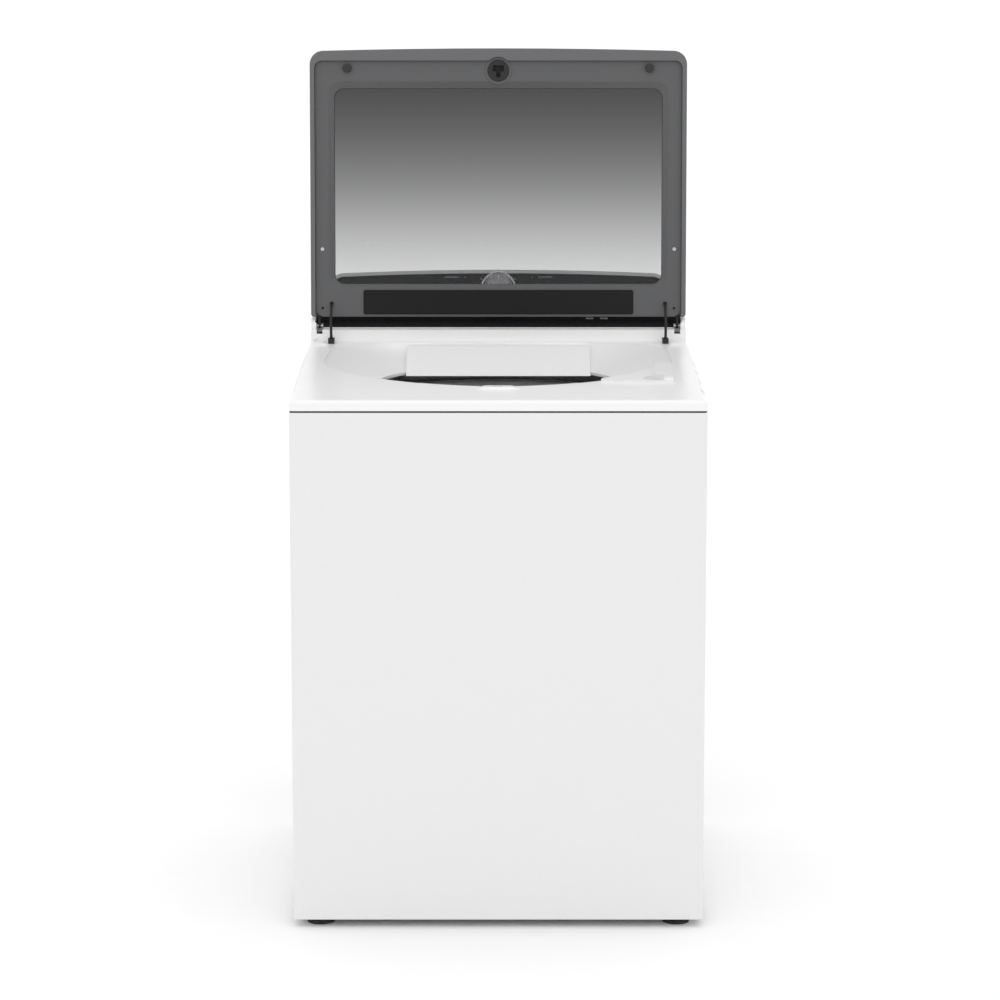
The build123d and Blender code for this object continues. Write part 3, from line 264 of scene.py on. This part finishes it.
def gloss_black():
    """Gloss black console face with a trace of fine dust in its shine."""
    return grainy(
        "console_black", (0.014, 0.014, 0.016), (0.010, 0.010, 0.012), 600.0, (0.10, 0.18),
        0.00001, 0.0006, Coat_Weight=0.5, Coat_Roughness=0.05,
    )


def satin_black(name, tone, scale=1400.0, rough=(0.42, 0.58)):
    """Satin black plastic or paint."""
    return grainy(
        name, (tone, tone, tone * 1.05), (tone * 0.8, tone * 0.8, tone * 0.85), scale, rough,
        0.00001, 0.0005, Specular_IOR_Level=0.2,
    )


def rubber():
    """Black rubber with a dull bloom."""
    return grainy(
        "rubber_black", (0.022, 0.022, 0.022), (0.034, 0.034, 0.033), 900.0, (0.70, 0.90), 0.0001, 0.0004,
    )


def plastic(name, tone, tint=(1, 1, 1), scale=900.0):
    """Plain moulded plastic of one tone."""
    first = tuple(tone * channel for channel in tint)
    second = tuple(0.92 * tone * channel for channel in tint)
    return grainy(name, first, second, scale, (0.38, 0.55), 0.00001, 0.0006)


def cast_metal():
    """Die cast alloy with a rough skin."""
    material = grainy(
        "cast_alloy", (0.50, 0.50, 0.51), (0.40, 0.40, 0.41), 500.0, (0.45, 0.62), 0.0003, 0.001,
    )
    shader_of(material).inputs["Metallic"].default_value = 1.0
    return material


def zinc():
    """Zinc plated steel with a faint spangle."""
    material = principled("zinc_steel", Metallic=1.0)
    cells = add_node(material, "ShaderNodeTexVoronoi", Scale=140.0)
    link(material, coordinates(material), cells.inputs["Vector"])
    vary_colour(material, cells.outputs["Distance"], (0.53, 0.54, 0.55), (0.505, 0.515, 0.525))
    rough_by(material, noise(material, 60.0), 0.36, 0.44)
    return material


def polished(name, colour, rough):
    """Polished metal with faint smears."""
    material = principled(name, Metallic=1.0)
    vary_colour(material, noise(material, 40.0), colour, tuple(channel * 0.94 for channel in colour))
    rough_by(material, noise(material, 90.0), *rough)
    return material


KNOB_RING_PITCH = 0.0007


def knob_metal():
    """Turned metal of the knob, with fine rings about its axis."""
    material = principled("knob_silver", Metallic=1.0)
    place = add_node(material, "ShaderNodeTexCoord")
    centre = add_node(material, "ShaderNodeVectorMath")
    centre.operation = "DISTANCE"
    centre.inputs[1].default_value = KNOB_PIVOT
    link(material, place.outputs["Object"], centre.inputs[0])
    rings = add_node(material, "ShaderNodeMath")
    rings.operation = "SINE"
    scale = add_node(material, "ShaderNodeMath")
    scale.operation = "MULTIPLY"
    scale.inputs[1].default_value = 2 * pi / KNOB_RING_PITCH
    link(material, centre.outputs["Value"], scale.inputs[0])
    link(material, scale.outputs["Value"], rings.inputs[0])
    vary_colour(material, noise(material, 120.0), (0.50, 0.50, 0.51), (0.42, 0.42, 0.43))
    rough_by(material, noise(material, 200.0), 0.24, 0.36)
    bump_by(material, rings.outputs["Value"], 0.00002)
    return material


def printed(name, tone):
    """Pad-printed ink, a little uneven."""
    return grainy(name, (tone, tone, tone), (tone * 0.85,) * 3, 2500.0, (0.45, 0.6), 0.00001)


MATERIALS = {
    "cabinet_white": enamel(),
    "deck_white": deck_plastic(),
    "lid_grey": lid_plastic(),
    "lid_shell_grey": lid_shell_plastic_with_painted_light(),
    "smoked_glass": glass_with_painted_gradient(),
    "console_black": gloss_black(),
    "plate_black": satin_black("plate_black", 0.008),
    "rubber_black": rubber(),
    "chrome": polished("chrome", (0.82, 0.82, 0.83), (0.05, 0.10)),
    "knob_silver": knob_metal(),
    "button_grey": plastic("button_grey", 0.10),
    "black_steel": satin_black("black_steel", 0.022, 500.0, (0.32, 0.45)),
    "zinc_steel": zinc(),
    "basket_steel": brushed("basket_steel", (0.62, 0.62, 0.63), (0.12, 0.12, 3.0), (0.20, 0.34)),
    "ring_grey": plastic("ring_grey", 0.86, (1, 1, 1.01)),
    "tub_plastic": plastic("tub_plastic", 0.52, (0.98, 1.0, 1.02), 300.0),
    "dark_plastic": satin_black("dark_plastic", 0.03, 900.0),
    "impeller_grey": plastic("impeller_grey", 0.46, (0.98, 1.0, 1.02)),
    "cast_alloy": cast_metal(),
    "motor_black": satin_black("motor_black", 0.035, 260.0),
    "board_green": plastic("board_green", 0.11, (0.2, 1.0, 0.45)),
    "hose_grey": plastic("hose_grey", 0.06, (1, 1, 1), 400.0),
    "valve_white": plastic("valve_white", 0.62, (1, 1, 0.96)),
}
SLOT_OF = {entry["node"]: entry["material_slot"] for entry in frame["record"]["subparts"]}


def dress_cad():
    """Gives every CAD node its finished material."""
    for name, piece in frame["nodes"].items():
        material = MATERIALS[SLOT_OF[name]]
        for place in piece.material_slots:
            place.material = material


# ---------------------------------------------------------------- building pieces
def piece_from(name, build, body, slot_name, material=None, smooth=True):
    """A mesh piece made by build, riding on a body."""
    mesh = bpy.data.meshes.new(name)
    shape = bmesh.new()
    build(shape)
    bmesh.ops.recalc_face_normals(shape, faces=shape.faces)
    for face in shape.faces:
        face.smooth = smooth
    shape.to_mesh(mesh)
    shape.free()
    piece = bpy.data.objects.new(name, mesh)
    bpy.context.scene.collection.objects.link(piece)
    mesh.materials.append(material or MATERIALS[slot_name])
    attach(piece, body)
    return piece


def join_rings(shape, first, second):
    """The band of faces between two rings of equally many points."""
    for step in range(len(first)):
        after = (step + 1) % len(first)
        shape.faces.new((first[step], first[after], second[after], second[step]))


def circle(shape, centre, radius, z, sides):
    """A level ring of points about an upright axis."""
    ring = []
    for step in range(sides):
        angle = 2 * pi * step / sides
        ring.append(shape.verts.new((centre.x + radius * cos(angle), centre.y + radius * sin(angle), z)))
    return ring


def apply_modifiers(piece):
    """Turns the piece's modifiers into mesh."""
    graph = bpy.context.evaluated_depsgraph_get()
    graph.update()
    piece.data = bpy.data.meshes.new_from_object(piece.evaluated_get(graph))
    piece.modifiers.clear()


# ---------------------------------------------------------------- console marks
LIFT = 0.00015
MARK_TALL = 0.0028
LEGEND_TOP = 0.022
LEGEND_PITCH = 0.0173
LEGEND_X = 0.087
LEGEND_DOT_X = 0.062
LOW_MARKS_X = (0.169, 0.1955)
LOW_MARKS_T = -0.060
LAMP_X = 0.262
LAMP_PITCH = 0.016
BUTTONS = (("options_button", "options_key"), ("power_button", "power_key"), ("start_button", "start_key"))
TICK_INNER = 0.0345
TICK_OUTER = 0.0385
TICK_HALF_WIDE = 0.0005


def on_face(x, t, out):
    """A point on the console's face: x across, t up from the knob's centre, out from the face."""
    return KNOB_PIVOT + Vector((1, 0, 0)) * x + FACE_UP * t + FACE_OUT * out


def face_block(shape, corners, levels):
    """A block over four corners on the console's face, between two levels out from it."""
    rows = [[shape.verts.new(on_face(x, t, level)) for x, t in corners] for level in levels]
    shape.faces.new(rows[0])
    shape.faces.new(rows[1])
    join_rings(shape, rows[0], rows[1])


def face_tablet(shape, x, t, wide, tall, out, thick):
    """A thin block lying on the console's face."""
    corners = [(-wide / 2, -tall / 2), (wide / 2, -tall / 2), (wide / 2, tall / 2), (-wide / 2, tall / 2)]
    face_block(shape, [(x + a, t + b) for a, b in corners], (out, out + thick))


def legend_marks():
    """Blank printed bars and dots around the knob and over the buttons, where a maker's words would be."""
    def build(shape):
        for side in (-1, 1):
            for row in range(5):
                wide = 0.026 + 0.006 * ((row * 5) % 3)
                t = LEGEND_TOP - LEGEND_PITCH * row
                face_tablet(shape, side * LEGEND_X, t, wide, 0.0030, LIFT, LIFT)
                face_tablet(shape, side * LEGEND_DOT_X, t, MARK_TALL, MARK_TALL, LIFT, LIFT)
        for x in LOW_MARKS_X:
            face_tablet(shape, x, LOW_MARKS_T, 0.014, MARK_TALL, LIFT, LIFT)
        for button, _ in BUTTONS:
            face_tablet(shape, middle(button).x, -0.020, 0.024, MARK_TALL, LIFT, LIFT)
        for step in range(5):
            face_tablet(shape, LAMP_X - LAMP_PITCH * step, 0.006, 0.004, 0.004, LIFT, LIFT)
    piece_from("legend_marks", build, "cabinet", "knob_silver", printed("print_grey", 0.30), False)


def dial_ticks():
    """Printed ticks around the knob's bezel, one for each cycle."""
    def build(shape):
        for step in range(12):
            angle = radians(30 * step)
            across = Vector((cos(angle), sin(angle)))
            side = Vector((-across.y, across.x)) * TICK_HALF_WIDE
            inner, outer = across * TICK_INNER, across * TICK_OUTER
            face_block(shape, (inner - side, outer - side, outer + side, inner + side), (LIFT, 2 * LIFT))
    piece_from("dial_ticks", build, "cabinet", "knob_silver", printed("print_white", 0.62), False)


def knob_pointer():
    """White line inlaid in the knob's top, pointing up the face."""
    def build(shape):
        face_tablet(shape, 0.0, 0.0120, 0.0018, 0.0150, 0.0206, 0.0010)
    piece_from("knob_pointer", build, "knob", "knob_silver", printed("pointer_white", 0.80), False)


def button_symbols():
    """Plain raised bars on the buttons."""
    def build_for(name):
        def build(shape):
            offset = middle(name) - KNOB_PIVOT
            face_tablet(shape, offset.x, offset.dot(FACE_UP), 0.009, 0.0016, 0.00162, 0.0002)
        return build
    for node, body in BUTTONS:
        piece_from(node + "_mark", build_for(node), body, "button_grey", printed(node + "_ink", 0.45), False)


# ---------------------------------------------------------------- deck
# The deck rises by DECK_CLIMB over DECK_RUN with a crown of DECK_CROWN, and its sides roll over at DECK_ROLL.
SHARP_ANGLE = radians(32)
SLIVER = 0.0003
DECK_START = -0.324
DECK_LEVEL = 0.910
DECK_RUN = 0.515
DECK_CLIMB = 0.032
DECK_CROWN = 0.0034
DECK_ROLL = 0.008
DECK_HALF = high("top_deck").x


def face_height(face):
    """How tall a triangle is on its longest side."""
    longest = max(edge.calc_length() for edge in face.edges)
    return 2 * face.calc_area() / longest if longest else 0.0


def real_edge(edge):
    """Whether two faces that are not slivers meet here at a clear angle."""
    if len(edge.link_faces) != 2 or edge.calc_face_angle() < SHARP_ANGLE:
        return False
    return all(face_height(face) > SLIVER for face in edge.link_faces)


def roll_normal(point):
    """Outward direction on the rolled side edge of the deck, or None away from it."""
    along = (point.y - DECK_START) / DECK_RUN
    if not 0 < along < 0.98:
        return None
    level = DECK_LEVEL + DECK_CLIMB * along + 4 * DECK_CROWN * along * (1 - along)
    side = 1 if point.x > 0 else -1
    out = Vector((point.x - side * (DECK_HALF - DECK_ROLL), 0, point.z - level + DECK_ROLL))
    if out.x * side < 0.00001 or out.z < 0.00001 or abs(out.length - DECK_ROLL) > 0.0004:
        return None
    return out.normalized()


def round_normals(mesh):
    """Give the rolled side edges their true curved shading and keep the rest."""
    normals = [corner.vector.copy() for corner in mesh.corner_normals]
    for loop in mesh.loops:
        true = roll_normal(mesh.vertices[loop.vertex_index].co)
        if true is not None:
            normals[loop.index] = true
    mesh.normals_split_custom_set(normals)


def smooth_deck():
    """The moulded deck again, with smooth shading that is weighted by area and broken only at real edges."""
    def build(shape):
        shape.from_mesh(frame["nodes"]["top_deck"].data)
        bmesh.ops.remove_doubles(shape, verts=shape.verts, dist=0.00002)
        for edge in shape.edges:
            edge.smooth = not real_edge(edge)

    piece = piece_from("smooth_deck", build, "cabinet", "deck_white")
    weighted = piece.modifiers.new("weighted", "WEIGHTED_NORMAL")
    weighted.mode = "FACE_AREA"
    weighted.weight = 100
    weighted.keep_sharp = True
    apply_modifiers(piece)
    round_normals(piece.data)
    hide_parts("top_deck")


# ---------------------------------------------------------------- basket
COLUMNS = 96
ROWS = 17
RIBS = 12
RIB_DEPTH = 0.0016
HOLE_RADIUS = 0.0024
WALL_INSET = 0.0022
WALL_THICK = 0.0010
KNEE = 0.020
BASKET_RADIUS = (high("basket").x - low("basket").x) / 2 - 0.0004
WALL_LOW = low("basket").z + 0.001 + KNEE
WALL_TALL = high("basket").z - WALL_LOW
ROW_RISE = WALL_TALL / ROWS
CELL_OUTLINE = ((0, 0), (1, 0), (2, 0), (2, 1), (2, 2), (1, 2), (0, 2), (0, 1))
FLOOR_STEPS = (
    (0.0015, 0.010), (0.006, 0.016), (0.014, 0.0195),
    (0.024, 0.0200), (0.100, 0.0200), (BASKET_RADIUS - 0.048, 0.0200),
)


def wall_point(angle, z):
    """A point on the basket's wall, which is pressed out into upright ribs."""
    bulge = RIB_DEPTH * max(0.0, cos(angle * RIBS)) ** 3
    up = min(1.0, max(0.0, (z - WALL_LOW) / WALL_TALL))
    reach = BASKET_RADIUS - WALL_INSET + bulge * sin(pi * up)
    return Vector((TUB_AXIS.x + reach * cos(angle), TUB_AXIS.y + reach * sin(angle), z))


def wall_corner(shape, grid, around, up):
    """The wall's vertex at this half column and half row, made once."""
    key = (around % (2 * COLUMNS), up)
    if key not in grid:
        angle = 2 * pi * key[0] / (2 * COLUMNS)
        grid[key] = shape.verts.new(wall_point(angle, WALL_LOW + ROW_RISE * up / 2))
    return grid[key]


def hole_points(shape, col, row):
    """Eight points around the drain hole in the middle of a cell."""
    angle = 2 * pi * (col + 0.5) / COLUMNS
    z = WALL_LOW + ROW_RISE * (row + 0.5)
    points = []
    for step in range(8):
        turn = radians(-135 + 45 * step)
        point = wall_point(angle + HOLE_RADIUS * cos(turn) / BASKET_RADIUS, z + HOLE_RADIUS * sin(turn))
        points.append(shape.verts.new(point))
    return points


def basket_cell(shape, grid, col, row):
    """One cell of the wall, plain at its top and bottom rows and in every eighth column."""
    outline = [wall_corner(shape, grid, 2 * col + a, 2 * row + b) for a, b in CELL_OUTLINE]
    if row in (0, ROWS - 1) or col % 8 == 0:
        shape.faces.new(outline)
    else:
        join_rings(shape, outline, hole_points(shape, col, row))


def perforated_basket():
    """The basket's wall and floor with rows of drain holes and pressed vertical ribs."""
    def build(shape):
        grid = {}
        for row in range(ROWS):
            for col in range(COLUMNS):
                basket_cell(shape, grid, col, row)
        loop = [wall_corner(shape, grid, step, 0) for step in range(2 * COLUMNS)]
        for inset, drop in FLOOR_STEPS:
            reach = BASKET_RADIUS - WALL_INSET - inset
            fresh = circle(shape, TUB_AXIS, reach, WALL_LOW - drop, 2 * COLUMNS)
            join_rings(shape, loop, fresh)
            loop = fresh

    piece = piece_from("perforated_basket", build, "wash_basket", "basket_steel")
    wall = piece.modifiers.new("wall", "SOLIDIFY")
    wall.thickness = WALL_THICK
    wall.offset = 0.0
    apply_modifiers(piece)
    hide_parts("basket")


# ---------------------------------------------------------------- springs and bellows
SPRING_RADIUS = 0.017
SPRING_WIRE = 0.0017
SPRING_TURNS = 9
SPRING_STEPS = 180
BELLOWS_FOLDS = 9
BELLOWS_CUFF = 0.012
BELLOWS_WALL = 0.0022


def tube_along(shape, points, radius, sides=10):
    """A round tube through points, closed at both ends."""
    rings = []
    for index, point in enumerate(points):
        before = points[max(0, index - 1)]
        after = points[min(len(points) - 1, index + 1)]
        along = (after - before).normalized()
        across = along.cross(Vector((0, 0, 1)))
        if across.length < 1e-4:
            across = Vector((1, 0, 0))
        across.normalize()
        other = along.cross(across).normalized()
        ring = []
        for step in range(sides):
            angle = 2 * pi * step / sides
            ring.append(shape.verts.new(point + radius * (cos(angle) * across + sin(angle) * other)))
        rings.append(ring)
    for first, second in zip(rings, rings[1:]):
        join_rings(shape, first, second)
    shape.faces.new(rings[0])
    shape.faces.new(rings[-1])


def coil_points(x, y, bottom, top):
    """Points along the wire of one spring, from its lower end to its upper end."""
    coil = SPRING_RADIUS - SPRING_WIRE
    points = []
    for step in range(SPRING_STEPS + 1):
        angle = 2 * pi * SPRING_TURNS * step / SPRING_STEPS
        z = bottom + SPRING_WIRE + (top - bottom - 2 * SPRING_WIRE) * (step / SPRING_STEPS)
        points.append(Vector((x + coil * cos(angle), y + coil * sin(angle), z)))
    return points


def squash_with_tub(piece):
    """Gives the piece a mesh of its own."""
    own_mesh(piece)


def suspension_springs():
    """Coil springs below the tub's lugs."""
    bottom, top = low("suspension_springs"), high("suspension_springs")

    def build(shape):
        for x in (bottom.x + SPRING_RADIUS, top.x - SPRING_RADIUS):
            for y in (bottom.y + SPRING_RADIUS, top.y - SPRING_RADIUS):
                tube_along(shape, coil_points(x, y, bottom.z, top.z), SPRING_WIRE, 8)

    piece = piece_from("coil_springs", build, "cabinet", "zinc_steel")
    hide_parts("suspension_springs")
    squash_with_tub(piece)


def revolve_profile(shape, centre, profile, sides=48):
    """A closed ring of faces through radius and height points, about an upright axis."""
    rings = [circle(shape, centre, radius, z, sides) for radius, z in profile]
    for index, first in enumerate(rings):
        join_rings(shape, first, rings[(index + 1) % len(rings)])


def bellows_profile(outer, bottom, top):
    """Radius and height points of the folded wall, up its outside and back down its inside."""
    profile = [(outer - 0.004, bottom), (outer - 0.004, bottom + BELLOWS_CUFF)]
    steps = BELLOWS_FOLDS * 8
    for step in range(steps + 1):
        share = step / steps
        radius = outer - 0.003 + 0.003 * cos(2 * pi * BELLOWS_FOLDS * share + pi)
        profile.append((radius, bottom + BELLOWS_CUFF + (top - bottom - 2 * BELLOWS_CUFF) * share))
    profile += [(outer - 0.004, top - BELLOWS_CUFF), (outer - 0.004, top)]
    return profile + [(radius - BELLOWS_WALL, z) for radius, z in reversed(profile)]


def bellows():
    """Folded rubber bellows between the tub's sump and the pump."""
    bottom, top = low("sump_bellows"), high("sump_bellows")
    outer = (top.x - bottom.x) / 2 - 0.0002

    def build(shape):
        revolve_profile(shape, middle("sump_bellows"), bellows_profile(outer, bottom.z, top.z))

    piece = piece_from("rubber_bellows", build, "cabinet", "rubber_black")
    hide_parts("sump_bellows")
    squash_with_tub(piece)


# ---------------------------------------------------------------- light, floor and camera
FLOOR_REACH = 14.0
WORLD_STRENGTH = 1.08
LIGHTS = [
    ("overhead_soft", (0.05, -0.10, 1.0), 0.20, 40),
    ("front_soft", (-0.3, -1.0, 0.30), 0.08, 30),
]
CAMERA_PLACE = Vector((0.003, -5.254, 1.574))
CAMERA_LENS = 107.1
CAMERA_TILT = 8.55
CAMERA_SHIFT = -0.0575


def floor_material():
    """Very pale matt floor with a faint unevenness."""
    return grainy("floor_white", (0.93, 0.93, 0.93), (0.925, 0.925, 0.925), 60.0, (0.8, 0.9), 0.0)


def pale_floor():
    """A wide flat floor that only stages the machine."""
    mesh = bpy.data.meshes.new("floor")
    shape = bmesh.new()
    sides = ((-1, -1), (1, -1), (1, 1), (-1, 1))
    shape.faces.new([shape.verts.new((x * FLOOR_REACH, y * FLOOR_REACH, 0)) for x, y in sides])
    shape.to_mesh(mesh)
    shape.free()
    floor = bpy.data.objects.new("floor", mesh)
    bpy.context.scene.collection.objects.link(floor)
    mesh.materials.append(floor_material())


def soft_light():
    """White surroundings and two faint, wide lamps."""
    scene = bpy.context.scene
    world = bpy.data.worlds.new("studio")
    world.use_nodes = True
    world.node_tree.nodes["Background"].inputs["Color"].default_value = (1, 1, 1, 1)
    world.node_tree.nodes["Background"].inputs["Strength"].default_value = WORLD_STRENGTH
    scene.world = world
    scene.view_settings.view_transform = "Standard"
    for name, direction, strength, spread_angle in LIGHTS:
        lamp = bpy.data.lights.new(name, "SUN")
        lamp.energy = strength
        lamp.angle = radians(spread_angle)
        lamp_object = bpy.data.objects.new(name, lamp)
        lamp_object.location = Vector(direction) * 4
        lamp_object.rotation_euler = Vector(direction).to_track_quat("Z", "Y").to_euler()
        scene.collection.objects.link(lamp_object)


def camera():
    """Long lens in front of the machine, a little above the open lid's top and tilted down."""
    data = bpy.data.cameras.new("camera")
    data.lens = CAMERA_LENS
    data.sensor_width = 36.0
    data.shift_y = CAMERA_SHIFT
    eye = bpy.data.objects.new("camera", data)
    eye.location = CAMERA_PLACE
    eye.rotation_euler = (radians(90 - CAMERA_TILT), 0, 0)
    bpy.context.scene.collection.objects.link(eye)
    bpy.context.scene.camera = eye


# ---------------------------------------------------------------- the scene
dress_cad()
legend_marks()
dial_ticks()
knob_pointer()
button_symbols()
smooth_deck()
perforated_basket()
suspension_springs()
bellows()
camera()
pale_floor()
soft_light()
